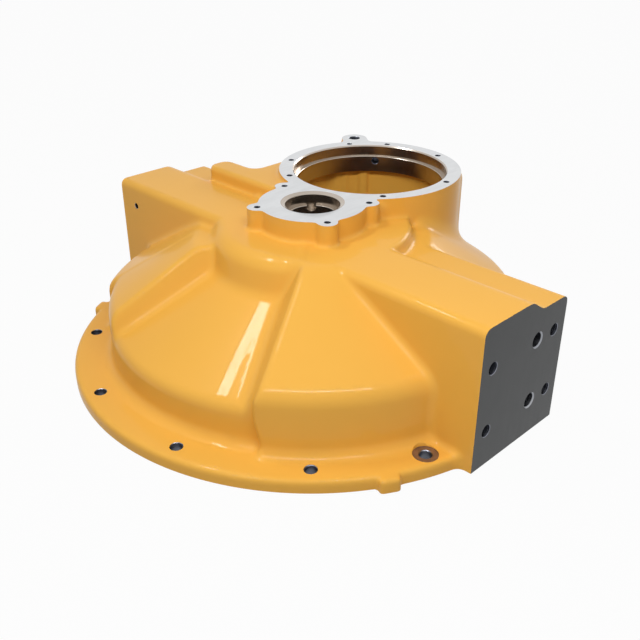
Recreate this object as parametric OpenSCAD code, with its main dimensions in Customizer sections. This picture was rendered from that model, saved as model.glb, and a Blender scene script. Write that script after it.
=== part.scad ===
// Gearbox housing: a bell casting with two side arms, a gear tower and a hub flange.
// Z points up along the bell axis and Z = 0 is the machined flange face that meets the engine.
// X runs along the two arms, and the gear tower stands on the +Y side.
// All lengths are in millimetres and all angles in degrees.

/* [Bell flange] */
// How far the bell flange stands out of the bell wall
flange_w = 52.5; // [50:0.5:58]
// Thickness of the bell flange
flange_t = 16.5; // [13:0.5:22]
// Radius on the upper edge of the flange rim
rim_round = 5; // [1:0.5:8]
// Distance of the flange bolt circle inside the rim
bolt_edge = 20.95; // [19:0.05:23]
// Diameter of the plain flange bolt holes
bolt_hole_d = 15; // [11:0.5:17]
// Distance of the bolt holes beside each arm from the arm's side
side_bolt_gap = 24.5; // [23:0.5:30]
// Diameter of the spot face round each bolt hole beside an arm
spot_d = 31; // [24:0.5:36]
// Depth of the spot face into the flange
spot_depth = 1; // [0.5:0.5:3]
// Number of clamping tabs round the rim, a third of a turn apart
tab_count = 3; // [2:1:3]
// Angle of the first clamping tab
tab_angle = 90; // [80:1:100]
// Width of a clamping tab
tab_w = 25; // [15:1:35]
// How far a clamping tab stands out of the rim
tab_reach = 10; // [5:1:15]

/* [Bell] */
// Outer radius of the upright bell wall
bell_r = 278; // [274:1:282]
// Height of the plateau on top of the bell
plateau_z = 184.5; // [180:0.5:190]
// Slope of the bell's cone, from the horizontal
cone_slope = 31.8; // [29:0.1:34]
// Radius of the plateau, where the cone starts
hub_r = 131; // [126:1:136]
// Radius on the shoulder between cone and bell wall
shoulder_round = 24; // [10:1:32]
// Radius on the crest between cone and rear strip level
rear_crest_round = 20; // [5:1:40]
// Radius of the fillet between bell wall and flange
foot_round = 16; // [8:1:18]
// Wall thickness of the casting
wall = 12; // [9:1:15]

/* [Front panels] */
// How far the wall below the two panels beside the arms stands out of the bell wall
panel_step = 12; // [6:1:16]
// How far the raised panel stands above the cone
raise = 10; // [4:1:14]
// Radius on the crest between the raised panel and the plateau
panel_crest_round = 50; // [20:1:52]
// Angle where the raised panel starts, at the foot of the recess's right wall
raise_from = -58; // [-60:1:-56]
// Angle where the raised panel ends, inside the right arm
raise_to = -8; // [-12:1:-4]
// How far the left panel stands above the cone
left_raise = 1; // [0.5:0.5:6]
// Angle where the left panel starts, inside the left arm
left_panel_from = 184; // [180:1:190]
// Angle where the left panel ends, beside the recess
left_panel_to = 222; // [216:1:230]
// Slope of the recessed panel, from the horizontal
recess_slope = 26.7; // [24:0.1:29]
// Height of the recessed panel where it meets the hub
recess_z = 137; // [125:1:150]
// Radius of the hub's foot on the recessed panel
hub_foot_r = 139; // [135:1:146]
// Angle of the recess floor's left edge
recess_left = -112.1; // [-116:0.1:-108]
// Angle of the recess floor's right edge
recess_right = -60.5; // [-64:0.1:-57]
// Steepness of the recess's left wall
recess_left_draft = 66; // [55:1:80]
// Steepness of the recess's right wall
recess_right_draft = 58; // [50:1:75]

/* [Arms] */
// How far the right arm's pad stands beyond the flange's rim
arm_right_over = 6.5; // [2:0.5:15]
// How far the left arm's pad stands beyond the flange's rim
arm_left_over = 1.5; // [1:0.5:15]
// Half the width of the arms
arm_half_w = 82.4; // [78:0.2:88]
// Height of the arms' rear strip
rear_strip_z = 168.5; // [162:0.5:172]
// Where the arm's top starts to step down to the rear strip
step_front_y = 7; // [0:0.5:10]
// Where the step reaches the rear strip
step_rear_y = 30; // [24:0.5:36]
// Radius along the upper edges of the arms
arm_round = 10; // [4:1:12]
// Thickness of the end wall that carries the pad
pad_t = 45; // [38:1:55]
// Height of the floor of the pockets in the arms
arm_pocket_z = 34; // [26:1:45]

/* [Pad holes] */
// Distance between the tapped holes across the pad
pad_hole_dy = 121.6; // [110:0.1:130]
// Height distance between the two rows of pad holes
pad_hole_dz = 81.8; // [70:0.1:95]
// Height of the middle of the pad's hole pattern
pad_hole_z = 89.2; // [80:0.1:100]
// Diameter of the tapped pad holes
pad_tap_d = 15.2; // [12:0.1:18]
// Depth of the tapped pad holes
pad_tap_depth = 36; // [20:1:36]
// Diameter of the two dowel holes
dowel_d = 18; // [14:0.1:22]
// Depth of the dowel holes
dowel_depth = 28; // [15:1:34]
// Distance of the dowel holes behind the pad's middle
dowel_y = 26.1; // [18:0.1:34]
// Chamfer at the mouth of each dowel hole
dowel_chamfer = 1.5; // [0.5:0.5:3]

/* [Gear tower] */
// Height of the machined top face
face_z = 213.5; // [208:0.5:220]
// Centre of the gear bore along X
ring_x = -43; // [-48:0.5:-38]
// Centre of the gear bore along Y
ring_y = 159.6; // [158:0.2:166]
// Outer radius of the gear tower
ring_r = 132.8; // [130:0.2:136]
// Radius of the counterbore at the top of the gear bore
counterbore_r = 111.5; // [110:0.5:113]
// Depth of the counterbore
counterbore_depth = 16.5; // [10:0.5:20]
// Radius of the gear bore below the shoulder
gear_bore_r = 107; // [100:0.5:108]
// Height of the lower end of the gear bore
gear_bore_end_z = 173; // [168:0.5:180]
// Chamfer at the mouth of the gear bore
mouth_chamfer = 1.8; // [0.5:0.1:3]
// Radius of the circle of tapped holes round the gear bore
ring_tap_r = 121.75; // [119:0.25:124]
// Angles of the tapped holes round the gear bore
ring_tap_angles = [13.8, 73.5, 119, 147.5, 207.8, 242, 320.5];
// Diameter of the tapped holes in the machined top face
face_tap_d = 8.5; // [6.8:0.1:10.2]
// Depth of the tapped holes in the machined top face
face_tap_depth = 22; // [12:1:26]
// Diameter of the oil hole drilled into the gear bore's wall
oil_hole_d = 11; // [6:0.5:12]
// How deep the oil hole is drilled
oil_hole_depth = 18; // [8:1:20]
// Direction of the oil hole from the gear bore's centre
oil_hole_angle = 127.2; // [120:0.1:134]
// Height of the oil hole
oil_hole_z = 190; // [184:0.5:191]
// Width of the upright rib inside the tower
pilaster_w = 36; // [28:1:45]
// Direction of the upright rib inside the tower
pilaster_angle = 141.6; // [138:0.1:146]
// How far the upright rib stands into the tower
pilaster_t = 9; // [4:1:12]

/* [Threaded lug] */
// Distance of the lug's hole from the gear bore's centre
lug_reach = 153.3; // [150:0.1:160]
// Direction of the lug from the gear bore's centre
lug_angle = 141.5; // [136:0.1:146]
// Radius of the lug
lug_r = 20; // [16:0.5:24]
// Diameter of the lug's tapped hole
lug_hole_d = 17.5; // [12:0.5:20]
// Depth of the lug's tapped hole
lug_hole_depth = 35; // [20:1:60]

/* [Rear deck] */
// Height of the cast deck beside the gear tower
deck_z = 204.5; // [198:0.5:208]
// Distance of the deck's left wall from the bell axis
deck_x = 180; // [178:0.5:186]
// Reach of the rib that runs out along the left arm
rib_x = 243; // [220:1:270]
// Front face of the rib
rib_front_y = 15; // [10:0.5:20]
// Rear face of the rib
rib_rear_y = 55; // [48:0.5:62]
// Radius of the rib's rounded end
rib_round = 16; // [8:1:19]
// Radius of the deck's lower cast corners beside the lug
deck_round = 24; // [16:1:30]
// How far the deck's rear wall stands behind the gear bore's centre
deck_rear = 104; // [98:0.5:110]
// How far the hollow under the deck reaches behind the gear bore's centre
deck_hollow_y = 42; // [20:1:50]

/* [Hub flange] */
// Radius of the hub flange on the bell axis
hub_flange_r = 72; // [68:0.5:76]
// Radius of the circle of tapped holes on the hub flange
hub_tap_r = 74.4; // [72:0.2:78]
// Angles of the tapped holes on the hub flange
hub_tap_angles = [42.8, 167.2, 239.6, 329.8];
// Radius of each tapped lug on the hub flange
hub_lug_r = 13.6; // [11:0.2:16]
// Radius of the hub bore's upper stretch
hub_bore_r = 36.7; // [34:0.1:38]
// Depth of the hub bore's upper stretch
hub_bore_depth = 16.5; // [10:0.5:20]
// Radius of the hub bore below its shoulder
hub_inner_r = 31; // [24:0.5:33]
// Width of the chamfer at the mouth of the hub bore
hub_chamfer = 5.8; // [2:0.1:7]
// Width of the oil notch at the hub bore's shoulder
notch_w = 13; // [8:0.5:18]
// Depth of the oil notch into the wall of the hub bore's upper stretch
notch_depth = 8; // [4:0.5:12]
// Direction of the oil notch from the bell axis
notch_angle = 138.5; // [130:0.5:150]
// Height of the middle of the oil notch's round
notch_z = 195; // [193:0.5:198]
// Outer radius of the boss round the hub bore, inside the bell
hub_boss_r = 49; // [44:1:56]
// Height of the lower end of that boss
hub_boss_z = 120; // [105:1:140]

/* [Side port] */
// Diameter of the small tapped port in the left arm's front face
port_d = 8; // [6:0.5:12]
// Distance of the port from the left arm's pad
port_edge = 35.4; // [27:0.2:42]
// Height of the port
port_z = 150.4; // [140:0.2:158]
// Depth of the port
port_depth = 18; // [8:1:25]

/* [Hidden] */

$fn = 96;
paint = "#e9a63c";
far = 500;
sink = 8;
over = 1;
clear = 0.5;
arc_steps = 5;
tab_step = 120;
recess_margin = 25;
hub_overlap = 3;
bolt_angles = [45, 75, 105, 135, 225, 255, 285, 315];

flange_r = bell_r + flange_w;
bolt_r = flange_r - bolt_edge;
side_bolt_angle = asin((arm_half_w + side_bolt_gap) / bolt_r);
side_bolt_angles = [side_bolt_angle, 180 - side_bolt_angle, 180 + side_bolt_angle, -side_bolt_angle];
arm_right = flange_r + arm_right_over;
arm_left = flange_r + arm_left_over;
port_x = arm_left - port_edge;
cone_wall = wall / cos(cone_slope);
inner_r = bell_r - wall;
tower_inner_r = ring_r - wall;
lug_x = ring_x + lug_reach * cos(lug_angle);
lug_y = ring_y + lug_reach * sin(lug_angle);
deck_rear_y = ring_y + deck_rear;
recess_apex_z = recess_z + hub_foot_r * tan(recess_slope);

function cone_z(r, lift) = plateau_z + lift - (r - hub_r) * tan(cone_slope);
function floor_z(r) = recess_z - (r - hub_foot_r) * tan(recess_slope);
function cone_r(z, lift) = hub_r + (plateau_z + lift - z) / tan(cone_slope);

// Points along an arc, in even steps.
function arc(centre, r, from, to, steps) = [
    for (i = [0 : steps]) let (a = from + (to - from) * i / steps)
        centre + r * [cos(a), sin(a)]
];

// Half section under the cone, out to the radius r, rounded at shoulder and crest; lift raises it.
module bell_section(r, lift, top_z, crest_round) {
    turn = 90 - cone_slope;
    shoulder = [r - shoulder_round, cone_z(r, lift) - shoulder_round * tan(turn / 2)];
    crest = [cone_r(top_z, lift) - crest_round * tan(cone_slope / 2), top_z - crest_round];
    polygon(concat(
        [[0, 0], [r, 0]],
        arc(shoulder, shoulder_round, 0, turn, arc_steps),
        arc(crest, crest_round, turn, 90, arc_steps),
        [[0, top_z]]
    ));
}

// Section of the fillet between the flange and a wall of the radius r.
module foot_fillet(r) {
    difference() {
        translate([r - over, flange_t - over])
            square(foot_round + over);
        translate([r + foot_round, flange_t + foot_round])
            circle(r = foot_round);
    }
}

// Half section of the flange with its rounded rim and the fillet at the foot of the bell wall.
module flange_section() {
    difference() {
        square([flange_r, flange_t]);
        translate([flange_r - rim_round, flange_t - rim_round])
            difference() {
                square(rim_round + over);
                circle(r = rim_round);
            }
    }
    foot_fillet(bell_r);
}

// A sector of the bell between two angles whose wall stands out and whose cone is raised.
module panel(from, to, lift, top_z, crest_round) {
    rotate([0, 0, from])
        rotate_extrude(angle = to - from)
            bell_section(bell_r + panel_step, lift, top_z, crest_round);
}

module panel_foot(from, to) {
    rotate([0, 0, from])
        rotate_extrude(angle = to - from) foot_fillet(bell_r + panel_step);
}

// A half space above a plane through a sloping radial line on the recess floor.
module above_recess_side(angle, tilt, drop) {
    translate([0, 0, recess_apex_z])
        rotate([0, 0, angle])
            rotate([0, recess_slope, 0])
                rotate([tilt, 0, 0])
                    translate([-far, -far, -drop])
                        cube([2 * far, 2 * far, far]);
}

// The space above the recessed panel, whose floor rounds over into the bell wall.
// Drop lowers its floor and sides by a wall.
// It reaches a little way into the hub, which is added after it is cut.
module recess_space(drop) {
    floor_drop = drop / cos(recess_slope);
    inward = max(drop, hub_overlap);
    turn = 90 - recess_slope;
    edge_r = bell_r - drop + clear;
    edge = [edge_r - shoulder_round, floor_z(edge_r) - floor_drop - shoulder_round * tan(turn / 2)];
    intersection() {
        rotate([0, 0, recess_left - recess_margin])
            rotate_extrude(angle = recess_right - recess_left + 2 * recess_margin)
                polygon(concat(
                    [[hub_foot_r - inward, floor_z(hub_foot_r - inward) - floor_drop]],
                    arc(edge, shoulder_round, turn, 0, arc_steps),
                    [[far, edge[1]],
                    [far, plateau_z + far],
                    [hub_r - inward, plateau_z + far],
                    [hub_r - inward, plateau_z]]
                ));
        above_recess_side(recess_right, recess_right_draft, drop);
        above_recess_side(recess_left, -recess_left_draft, drop);
    }
}

module bell() {
    difference() {
        union() {
            rotate_extrude() bell_section(bell_r, 0, rear_strip_z, rear_crest_round);
            panel(raise_from, raise_to, raise, plateau_z, panel_crest_round);
            panel(left_panel_from, left_panel_to, left_raise, rear_strip_z, rear_crest_round);
        }
        difference() {
            recess_space(0);
            translate([0, 0, -far]) cylinder(r = far, h = far + flange_t);
        }
    }
    rotate_extrude() flange_section();
    panel_foot(raise_from, raise_to);
    panel_foot(left_panel_from, left_panel_to);
    translate([0, 0, recess_z])
        cylinder(r1 = hub_foot_r, r2 = hub_r, h = plateau_z - recess_z);
}

// Cross-section of the arms in Y and Z; inset shrinks it by a wall.
module arm_section(inset) {
    y0 = arm_half_w - inset;
    round = max(arm_round - inset, over);
    difference() {
        polygon([
            [-y0, 0],
            [-y0, plateau_z - inset],
            [step_front_y - inset / 2, plateau_z - inset],
            [step_rear_y - inset / 2, rear_strip_z - inset],
            [y0, rear_strip_z - inset],
            [y0, 0]
        ]);
        translate([-y0 + round, plateau_z - inset - round])
            difference() {
                translate([-round - over, 0]) square(round + over);
                circle(r = round);
            }
        translate([y0 - round, rear_strip_z - inset - round])
            difference() {
                square(round + over);
                circle(r = round);
            }
    }
}

module along_arms(inset, x_left, x_right) {
    translate([-x_left, 0, 0])
        rotate([90, 0, 90])
            linear_extrude(x_left + x_right) arm_section(inset);
}

module tower_outline(r) {
    translate([ring_x, ring_y]) circle(r = r);
}

// Plan of the cast deck left of the tower, with a round corner on either side of the lug.
module deck_outline() {
    difference() {
        translate([-deck_x, rib_front_y])
            square([deck_x + ring_x, deck_rear_y - rib_front_y]);
        translate([-deck_x - over, deck_rear_y - deck_round])
            square([deck_round + over, deck_round + over]);
    }
    translate([-deck_x + deck_round, deck_rear_y - deck_round])
        circle(r = deck_round);
}

module rib_outline() {
    translate([-rib_x + rib_round, rib_front_y])
        square([rib_x - rib_round, rib_rear_y - rib_front_y]);
    translate([-rib_x, rib_front_y + rib_round])
        square([2 * rib_round, rib_rear_y - rib_front_y - 2 * rib_round]);
    for (y = [rib_front_y + rib_round, rib_rear_y - rib_round])
        translate([-rib_x + rib_round, y]) circle(r = rib_round);
}

// Plan of the machined top face beyond the tower: the hub flange, its lugs and the threaded lug.
module hub_outline() {
    circle(r = hub_flange_r);
    for (a = hub_tap_angles) rotate([0, 0, a]) {
        translate([hub_tap_r, 0]) circle(r = hub_lug_r);
        translate([hub_tap_r / 2, -hub_lug_r]) square([hub_tap_r / 2, 2 * hub_lug_r]);
    }
}

module lug_outline() {
    translate([lug_x, lug_y]) circle(r = lug_r);
    translate([ring_x, ring_y])
        rotate([0, 0, lug_angle])
            translate([ring_r / 2, -lug_r]) square([lug_reach - ring_r / 2, 2 * lug_r]);
}

module upright(z_low, z_high) {
    translate([0, 0, z_low]) linear_extrude(z_high - z_low) children();
}

module tabs() {
    for (i = [0 : tab_count - 1])
        rotate([0, 0, tab_angle + i * tab_step])
            translate([bell_r + foot_round, -tab_w / 2, 0])
                cube([flange_r + tab_reach - bell_r - foot_round, tab_w, flange_t]);
}

module outer_form() {
    bell();
    along_arms(0, arm_left, arm_right);
    upright(sink, face_z) tower_outline(ring_r);
    upright(sink, face_z) lug_outline();
    upright(sink, deck_z) deck_outline();
    upright(rear_strip_z - sink, deck_z) rib_outline();
    upright(plateau_z - sink, face_z) hub_outline();
    tabs();
}

// The hollow of the bell: its cone follows the outside one wall deeper.
module bell_hollow() {
    roof_z = rear_strip_z - wall;
    difference() {
        rotate_extrude()
            polygon([
                [0, -over],
                [inner_r, -over],
                [inner_r, cone_z(inner_r, 0) - cone_wall],
                [cone_r(roof_z + cone_wall, 0), roof_z],
                [hub_r - wall, roof_z],
                [hub_r - wall, plateau_z - wall],
                [0, plateau_z - wall]
            ]);
        recess_shell();
    }
}

// What the recessed panel leaves standing inside the bell's hollow.
module recess_shell() {
    difference() {
        recess_space(wall);
        translate([0, 0, -far]) cylinder(r = far, h = far + flange_t);
    }
}

module arm_hollow() {
    intersection() {
        along_arms(wall, arm_left - pad_t, arm_right - pad_t);
        translate([-far, -far, arm_pocket_z]) cube([2 * far, 2 * far, far]);
    }
}

module tower_hollow() {
    difference() {
        upright(arm_pocket_z, gear_bore_end_z) tower_outline(tower_inner_r);
        translate([ring_x, ring_y, 0])
            rotate([0, 0, pilaster_angle])
                translate([tower_inner_r - pilaster_t, -pilaster_w / 2, 0])
                    cube([2 * pilaster_t, pilaster_w, face_z]);
    }
}

// The hollow beside the tower, under the rear deck.
module deck_hollow() {
    translate([-deck_x + wall, rib_rear_y + wall, arm_pocket_z])
        cube([deck_x + ring_x, ring_y + deck_hollow_y - rib_rear_y - wall, gear_bore_end_z - arm_pocket_z]);
}

module hub_boss() {
    translate([0, 0, hub_boss_z]) cylinder(r = hub_boss_r, h = plateau_z - hub_boss_z);
}

module gear_bore() {
    translate([ring_x, ring_y, 0]) {
        translate([0, 0, gear_bore_end_z - over])
            cylinder(r = gear_bore_r, h = face_z - gear_bore_end_z);
        translate([0, 0, face_z - counterbore_depth])
            cylinder(r = counterbore_r, h = counterbore_depth + over);
        translate([0, 0, face_z - mouth_chamfer])
            cylinder(r1 = counterbore_r, r2 = counterbore_r + mouth_chamfer, h = mouth_chamfer);
        translate([0, 0, oil_hole_z])
            rotate([0, 90, oil_hole_angle])
                translate([0, 0, gear_bore_r - over])
                    cylinder(d = oil_hole_d, h = oil_hole_depth + over);
    }
}

module hub_bore() {
    translate([0, 0, hub_boss_z - over])
        cylinder(r = hub_inner_r, h = face_z - hub_boss_z);
    translate([0, 0, face_z - hub_bore_depth])
        cylinder(r = hub_bore_r, h = hub_bore_depth + over);
    translate([0, 0, face_z - hub_chamfer / 2])
        cylinder(r1 = hub_bore_r, r2 = hub_bore_r + hub_chamfer, h = hub_chamfer / 2);
    translate([0, 0, notch_z])
        rotate([0, 90, notch_angle])
            translate([0, 0, hub_inner_r - over])
                cylinder(d = notch_w, h = hub_bore_r + notch_depth - hub_inner_r + over);
}

module face_tap(depth, d) {
    translate([0, 0, face_z - depth]) cylinder(d = d, h = depth + over);
}

module face_taps() {
    translate([ring_x, ring_y, 0])
        for (a = ring_tap_angles) rotate([0, 0, a])
            translate([ring_tap_r, 0, 0]) face_tap(face_tap_depth, face_tap_d);
    for (a = hub_tap_angles) rotate([0, 0, a])
        translate([hub_tap_r, 0, 0]) face_tap(face_tap_depth, face_tap_d);
    translate([lug_x, lug_y, 0]) face_tap(lug_hole_depth, lug_hole_d);
}

module flange_holes() {
    for (a = concat(bolt_angles, side_bolt_angles)) rotate([0, 0, a])
        translate([bolt_r, 0, -over]) cylinder(d = bolt_hole_d, h = flange_t + 2 * over);
    for (a = side_bolt_angles) rotate([0, 0, a])
        translate([bolt_r, 0, flange_t - spot_depth]) cylinder(d = spot_d, h = foot_round + over);
}

// Holes of one pad, drilled from the pad's face along -X.
module pad_holes() {
    for (z = [-pad_hole_dz / 2, pad_hole_dz / 2]) {
        for (y = [-pad_hole_dy / 2, pad_hole_dy / 2])
            translate([-pad_tap_depth, y, pad_hole_z + z])
                rotate([0, 90, 0]) cylinder(d = pad_tap_d, h = pad_tap_depth + over);
        translate([-dowel_depth, dowel_y, pad_hole_z + z])
            rotate([0, 90, 0]) cylinder(d = dowel_d, h = dowel_depth + over);
        translate([-dowel_chamfer, dowel_y, pad_hole_z + z])
            rotate([0, 90, 0])
                cylinder(d1 = dowel_d, d2 = dowel_d + 2 * dowel_chamfer, h = dowel_chamfer);
    }
}

module side_port() {
    translate([-port_x, -arm_half_w + port_depth, port_z])
        rotate([90, 0, 0]) cylinder(d = port_d, h = port_depth + over);
}

module housing() color(paint) {
    difference() {
        union() {
            difference() {
                outer_form();
                bell_hollow();
                arm_hollow();
                tower_hollow();
                deck_hollow();
            }
            hub_boss();
        }
        gear_bore();
        hub_bore();
        face_taps();
        flange_holes();
        translate([arm_right, 0, 0]) pad_holes();
        translate([-arm_left, 0, 0]) mirror([1, 0, 0]) pad_holes();
        side_port();
    }
}

housing();
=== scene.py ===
# %% [markdown]
# # A painted gearbox housing
#
# The object is one iron casting. A wide bell stands on a round bolt flange, two box-shaped
# arms run out left and right to machined pads, and a gear tower and a smaller hub flange
# rise to one machined top face. The cast skin wears glossy yellow paint, and every face,
# bore and hole that a tool has cut is bare metal.
#
# The imported CAD model gives the frame: its origin is the bell axis at the flange's lower
# face, Z is up and X runs along the arms. Its box is kept.

# %% Load the frame
import math
import time

import bpy
import numpy as np
from mathutils import Matrix, Vector


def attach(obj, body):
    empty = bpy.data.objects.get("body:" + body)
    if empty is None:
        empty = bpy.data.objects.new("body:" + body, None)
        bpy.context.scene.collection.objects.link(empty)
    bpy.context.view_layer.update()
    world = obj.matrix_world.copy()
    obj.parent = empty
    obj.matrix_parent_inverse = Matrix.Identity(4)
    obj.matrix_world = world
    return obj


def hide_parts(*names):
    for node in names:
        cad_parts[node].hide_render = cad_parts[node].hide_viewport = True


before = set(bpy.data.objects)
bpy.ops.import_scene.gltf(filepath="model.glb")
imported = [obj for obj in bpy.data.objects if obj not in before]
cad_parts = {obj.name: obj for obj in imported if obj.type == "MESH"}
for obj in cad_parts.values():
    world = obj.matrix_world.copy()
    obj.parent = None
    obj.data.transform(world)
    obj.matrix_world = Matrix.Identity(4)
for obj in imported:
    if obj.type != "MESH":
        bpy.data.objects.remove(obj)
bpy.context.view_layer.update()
clock = time.time()

# %% [markdown]
# ## How the casting is made
#
# A sand casting has no sharp corners: iron and paint run round every edge, and where two
# walls meet there is a fillet. Modelling each fillet by hand is slow, and the bevel modifier
# gives up where many walls meet. So the casting is written as a distance field instead. For
# any point a formula says how far away the surface is, negative inside the metal. Two such
# distances unite into one shape, and a small change to the formula adds the fillet.
#
# The lengths below are in millimetres, as on a drawing. They become metres when the mesh is
# made. `join` unites two shapes with a fillet, `meet` keeps what two shapes share and rounds
# the edge between them.

# %% Join and meet
NO_FILLET = 0.05  # below this radius the corner stays sharp


def join(a, b, fillet):
    """Distance to two shapes united, with a fillet of that radius between them."""
    near_a, near_b = np.maximum(fillet - a, 0), np.maximum(fillet - b, 0)
    blended = np.maximum(fillet, np.minimum(a, b)) - np.sqrt(near_a ** 2 + near_b ** 2)
    return np.where(fillet > NO_FILLET, blended, np.minimum(a, b))


def meet(a, b, edge):
    """Distance to what two shapes share, with their common edge rounded."""
    return -join(-a, -b, edge)


def ramp(value, start, end):
    """0 before start, 1 after end, and a smooth change between them."""
    t = np.clip((value - start) / (end - start), 0, 1)
    return t * t * (3 - 2 * t)


def turn(degrees):
    """Cosine and sine of an angle in the plan."""
    return math.cos(math.radians(degrees)), math.sin(math.radians(degrees))


filled = float(-join(0.0, 0.0, 10.0))
print("a 10 mm fillet moves a square inner corner by", round(filled, 2), "mm")

# %% [markdown]
# ## The bell and its flange
#
# The bell is a shape of revolution: an upright wall, a cone, and a flat crest. In front of
# each arm a panel's wall stands 12 mm out, and the right panel also stands 10 mm above the
# cone. Near its foot, the right panel's end slants away from the recess beside it. The
# flange is a flat ring at the bell's foot, with a generous fillet up into the wall, which is
# what carries the load of the bolts.

# %% Bell and flange
FLANGE_R, FLANGE_T, FLANGE_EDGE = 330.5, 16.5, 4.5
BELL_R, HUB_R, PLATEAU_Z, STRIP_Z = 278.0, 131.0, 184.5, 168.5
CONE, SHOULDER, CREST_EDGE = math.radians(31.8), 11.4, 3.0
PANEL_STEP, PANEL_RAISE, PANEL_FROM, PANEL_TO = 12.0, 10.0, -58.0, -8.0
PANEL_CREST, PANEL_EDGE, PANEL_FOOT = 8.0, 3.2, 5.0
PANEL_LEAN, LEAN_TOP_Z = 0.22, 60.0  # run per height of the slanting end, and where it starts
LEFT_RAISE, LEFT_PANEL_FROM, LEFT_PANEL_TO = 1.0, 184.0, 222.0
LEFT_EDGE, LEFT_FOOT, LEFT_FOOT_RADII = 3.0, 6.0, (BELL_R - 12, BELL_R - 1)


def beyond(x, y, degrees):
    """Distance past the upright plane through the axis at that angle, turning left."""
    c, s = turn(degrees)
    return y * c - x * s


def cone_over(r, z, lift):
    """Distance above the bell's cone."""
    return (z - (PLATEAU_Z + lift - (r - HUB_R) * math.tan(CONE))) * math.cos(CONE)


def turned_form(z, r, wall_r, lift, top_z, crest):
    """A shape of revolution with an upright wall, a cone raised by the lift, and a flat top."""
    return meet(meet(r - wall_r, cone_over(r, z, lift), SHOULDER), z - top_z, crest)


def sector(x, y, start, end):
    """Distance outside the upright wedge between two angles."""
    return np.maximum(-beyond(x, y, start), beyond(x, y, end))


def bell_form(x, y, z, r):
    """The bell and its two panels, before the recess is pressed in."""
    form = turned_form(z, r, BELL_R, 0.0, STRIP_Z, CREST_EDGE)
    left = turned_form(z, r, BELL_R + PANEL_STEP, LEFT_RAISE, STRIP_Z, CREST_EDGE)
    left = meet(left, sector(x, y, LEFT_PANEL_FROM, LEFT_PANEL_TO), LEFT_EDGE)
    form = join(form, left, LEFT_FOOT * ramp(r, *LEFT_FOOT_RADII))
    right = turned_form(z, r, BELL_R + PANEL_STEP, PANEL_RAISE, PLATEAU_Z, PANEL_CREST)
    lean = PANEL_LEAN * np.clip(LEAN_TOP_Z - z, 0, None)
    ends = np.maximum(lean - beyond(x, y, PANEL_FROM), beyond(x, y, PANEL_TO))
    return join(form, meet(right, ends, PANEL_EDGE), PANEL_FOOT)


def flange_form(z, r):
    """The flange's flat ring with its rounded rim."""
    return meet(r - FLANGE_R, z - FLANGE_T, FLANGE_EDGE)


print("cone falls", round(math.tan(CONE) * (BELL_R - HUB_R), 1), "mm from hub to wall")

# %% [markdown]
# ## The recessed panel and the hub
#
# The front left of the bell is pressed in: a lower cone between two slanting side walls,
# with the round hub standing up behind it. The side walls are planes through two sloping
# lines on the lower cone, so each is written with its normal. The lower cone rounds over
# into the bell wall as the bell's own cone does. Its fillet up the side walls fades out
# towards that wall. The hub flares a little towards its foot, so that the mould draws off it.

# %% Recess and hub
RECESS = math.radians(26.7)
RECESS_Z, HUB_FOOT_R = 137.0, 139.0
RECESS_SIDES = ((-60.5, 58.0), (-112.1, -66.0))  # the line's angle, and the wall's tilt
RECESS_CORNER, RECESS_SHOULDER, RECESS_EDGE = 5.0, 8.5, 3.2
RECESS_MIDDLE, RIGHT_FOOT, LEFT_SIDE_FOOT, FOOT_FADE = -86.0, 10.0, 7.0, 14
FLOOR_COVER = 12.0  # how far the lower cone reaches up inside the hub
HUB_EDGE, HUB_SOFTER = 4.5, 13.5
HUB_FRONT = ((-150, 45), (-48, 30))  # angle at each end of the softer edge, and its run


def recess_side(x, y, z, degrees, draft):
    """Distance outside the recess's side wall that stands on the line at that angle."""
    c, s = turn(degrees)
    ct, st = turn(draft)
    lean = ct * math.sin(RECESS)
    apex = RECESS_Z + HUB_FOOT_R * math.tan(RECESS)
    normal = (lean * c + st * s, lean * s - st * c, ct * math.cos(RECESS))
    return -(normal[0] * x + normal[1] * y + normal[2] * (z - apex))


def recess_floor(z, r):
    """Distance above the recess's floor."""
    return (z - (RECESS_Z - (r - HUB_FOOT_R) * math.tan(RECESS))) * math.cos(RECESS)


def recess_gap(x, y, z, drop):
    """Distance outside the wedge between the two side walls, or between their inner faces."""
    right, left = (recess_side(x, y, z, a, d) for a, d in RECESS_SIDES)
    return meet(right - drop, left - drop, RECESS_CORNER)


def with_recess(x, y, z, r, form):
    """The bell with its recess: the gap is cut, and a lower cone is put in its place."""
    low = meet(r - BELL_R, recess_floor(z, r), RECESS_SHOULDER)
    low = np.maximum(low, z - RECESS_Z - FLOOR_COVER)
    foot = np.where(beyond(x, y, RECESS_MIDDLE) > 0, RIGHT_FOOT, LEFT_SIDE_FOOT)
    foot = foot * ramp(BELL_R - r, 0, FOOT_FADE)
    return join(meet(form, -recess_gap(x, y, z, 0.0), RECESS_EDGE), low, foot)


def hub_side(z, r):
    """Distance outside the hub's slightly flared wall."""
    flare, rise = HUB_FOOT_R - HUB_R, PLATEAU_Z - RECESS_Z
    return ((r - HUB_FOOT_R) * rise + (z - RECESS_Z) * flare) / math.hypot(flare, rise)


def hub_form(x, y, z, r):
    """The hub, rounded softly over the recess and more tightly towards the arms."""
    (left, left_run), (right, right_run) = HUB_FRONT
    front = ramp(beyond(x, y, left), 0, left_run) * ramp(-beyond(x, y, right), 0, right_run)
    return meet(hub_side(z, r), z - PLATEAU_Z, HUB_EDGE + HUB_SOFTER * front)


print("recess floor falls from", RECESS_Z, "mm to",
      round(RECESS_Z - (BELL_R - HUB_FOOT_R) * math.tan(RECESS), 1), "mm at the bell wall")

# %% [markdown]
# ## The arms
#
# Each arm is a long box along X. Its top steps down behind to a lower strip, and its upper
# edges are rounded. Where the arm's top runs level with the hub's plateau there is no corner
# to fill, so the fillet towards the bell fades out near that level. Left alone, a fillet
# between two level faces would swell into a ridge.

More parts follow.
